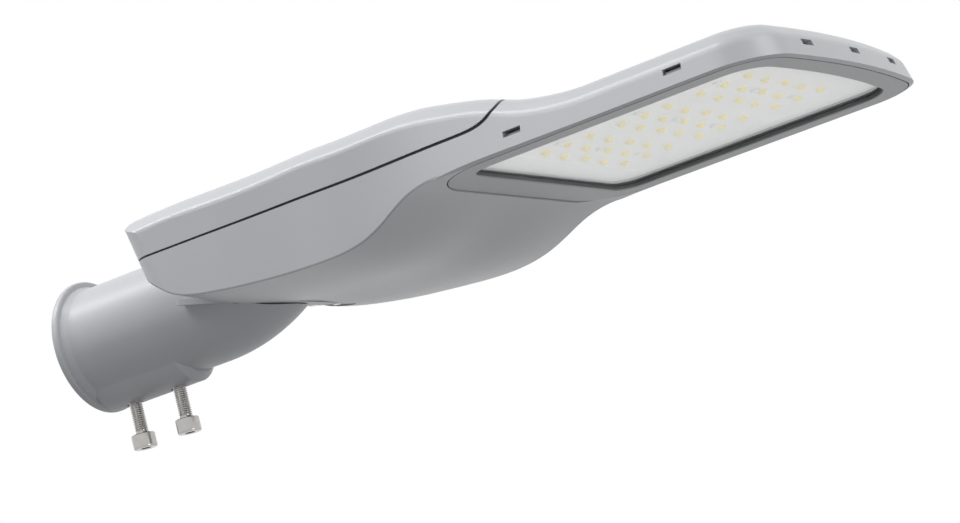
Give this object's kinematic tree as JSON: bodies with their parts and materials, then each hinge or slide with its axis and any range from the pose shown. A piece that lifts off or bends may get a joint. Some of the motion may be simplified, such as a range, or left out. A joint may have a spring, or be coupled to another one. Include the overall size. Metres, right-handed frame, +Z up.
{
  "type": "led street light",
  "caption": "Flat grey LED street light with a round pole socket and clamp screws, a humped driver tray with a lid, and a slim lamp head with a glass window facing down.",
  "frame": {"origin": "centre of the pole socket's mouth", "axes": "+X along the socket towards the nose of the lamp head, +Z up, the window faces -Z"},
  "size_m": [0.5057, 0.2034, 0.1101],
  "materials": {
    "housing_paint": "satin light grey powder coat on die-cast aluminium",
    "socket_paint": "satin light grey powder coat on die-cast aluminium",
    "frame_paint": "satin light grey powder coat",
    "seal_rubber": "matt black silicone rubber",
    "window_glass": "clear flat toughened glass",
    "board_white": "white solder mask",
    "led_phosphor": "yellow phosphor in a pale package, unlit",
    "reflector_white": "white reflector sheet",
    "screw_steel": "plain stainless steel",
    "earth_brass": "plain",
    "driver_case": "plain case filled with potting",
    "terminal_plastic": "natural nylon",
    "surge_plastic": "dark moulding",
    "gland_plastic": "black nylon",
    "lead_sheath": "black sheath",
    "core_sheath": "pale sheath"
  },
  "bodies": {
    "root": {"housing": "housing_paint", "gear_cover": "housing_paint", "spigot": "socket_paint", "lens_frame": "frame_paint", "cover_gasket": "seal_rubber", "glass_gasket": "seal_rubber", "wire_grommet": "seal_rubber", "glass": "window_glass", "led_board_rear": "board_white", "led_board_middle": "board_white", "led_board_front": "board_white", "leds_rear": "led_phosphor", "leds_middle": "led_phosphor", "leds_front": "led_phosphor", "reflector": "reflector_white", "board_screws": "screw_steel", "clamp_screws": "screw_steel", "spigot_bolts": "screw_steel", "spigot_washers": "screw_steel", "cover_screws": "screw_steel", "driver_screws": "screw_steel", "terminal_screws": "screw_steel", "terminal_fixings": "screw_steel", "surge_screws": "screw_steel", "earth_screw": "earth_brass", "driver": "driver_case", "terminal_block": "terminal_plastic", "surge_protector": "surge_plastic", "cable_gland": "gland_plastic", "gland_nut": "gland_plastic", "breather": "gland_plastic", "input_lead": "lead_sheath", "output_lead": "lead_sheath", "board_leads": "core_sheath"}
  },
  "joints": []
}
